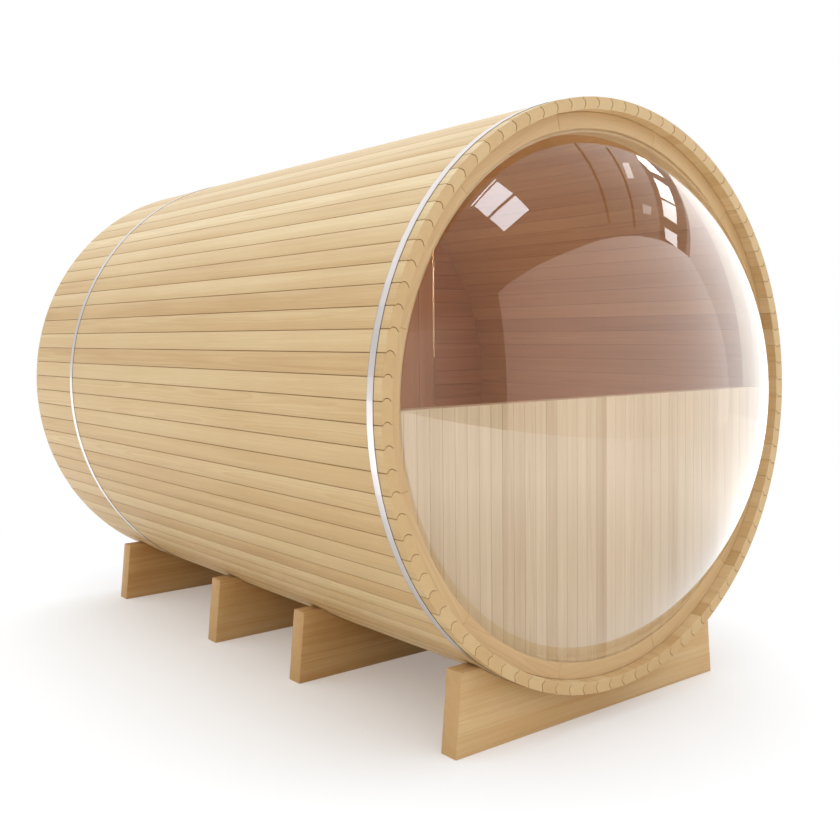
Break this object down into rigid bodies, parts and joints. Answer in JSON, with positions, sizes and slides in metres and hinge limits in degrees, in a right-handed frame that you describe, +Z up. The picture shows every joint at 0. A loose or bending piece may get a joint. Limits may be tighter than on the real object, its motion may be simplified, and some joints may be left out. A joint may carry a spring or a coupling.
{
  "type": "barrel sauna",
  "caption": "Barrel sauna of bead-and-cove wooden staves held by steel bands, on plank cradles, with a clear dome over the front wall and a hinged door to an open porch.",
  "frame": {"origin": "ground level under the middle of the overall box", "axes": "+Y along the barrel from the dome to the porch, +Z up, +X to the right seen from the dome end"},
  "size_m": [2.0024, 3.2198, 2.1062],
  "materials": {
    "stave_wood": "planed pale softwood, clear oil",
    "cradle_wood": "planed pale softwood, clear oil",
    "front_wall_wood": "planed pale softwood boards",
    "inner_wall_wood": "planed softwood boards",
    "door_wood": "planed softwood boards",
    "handle_wood": "planed hardwood, oiled",
    "floor_wood": "planed softwood boards",
    "band_steel": "brushed stainless",
    "hinge_steel": "brushed stainless",
    "dome_acrylic": "clear polished acrylic, light rose tint"
  },
  "bodies": {
    "sauna": {"band_back": "band_steel", "band_front": "band_steel", "casing_head": "inner_wall_wood", "casing_left": "inner_wall_wood", "casing_right": "inner_wall_wood", "cheek_left": "inner_wall_wood", "cheek_right": "inner_wall_wood", "cradle_back": "cradle_wood", "cradle_front": "cradle_wood", "cradle_mid_back": "cradle_wood", "cradle_mid_front": "cradle_wood", "dome": "dome_acrylic", "door_sill": "inner_wall_wood", "floor_bearers": "floor_wood", "floor_porch": "floor_wood", "floor_room": "floor_wood", "front_arch_left": "front_wall_wood", "front_arch_right": "front_wall_wood", "front_arch_top": "front_wall_wood", "front_ring": "front_wall_wood", "front_wall_lower": "front_wall_wood", "hinge_frame_plates": "hinge_steel", "jamb_left": "inner_wall_wood", "jamb_right": "inner_wall_wood", "staves_bottom": "stave_wood", "staves_left": "stave_wood", "staves_lower_left": "stave_wood", "staves_lower_right": "stave_wood", "staves_right": "stave_wood", "staves_top": "stave_wood", "staves_upper_left": "stave_wood", "staves_upper_right": "stave_wood", "upright_left": "inner_wall_wood", "upright_right": "inner_wall_wood", "wall_over_door": "inner_wall_wood"},
    "door": {"door_leaf": "door_wood", "door_ledges": "door_wood", "door_handles": "handle_wood", "hinge_leaf_plates": "hinge_steel"}
  },
  "joints": [
    {"name": "door_hinge", "type": "hinge", "parent": "sauna", "child": "door", "pos_m": [0.401, 0.533, 1.12], "axis": [0, 0, -1], "range_deg": [0, 90]}
  ]
}
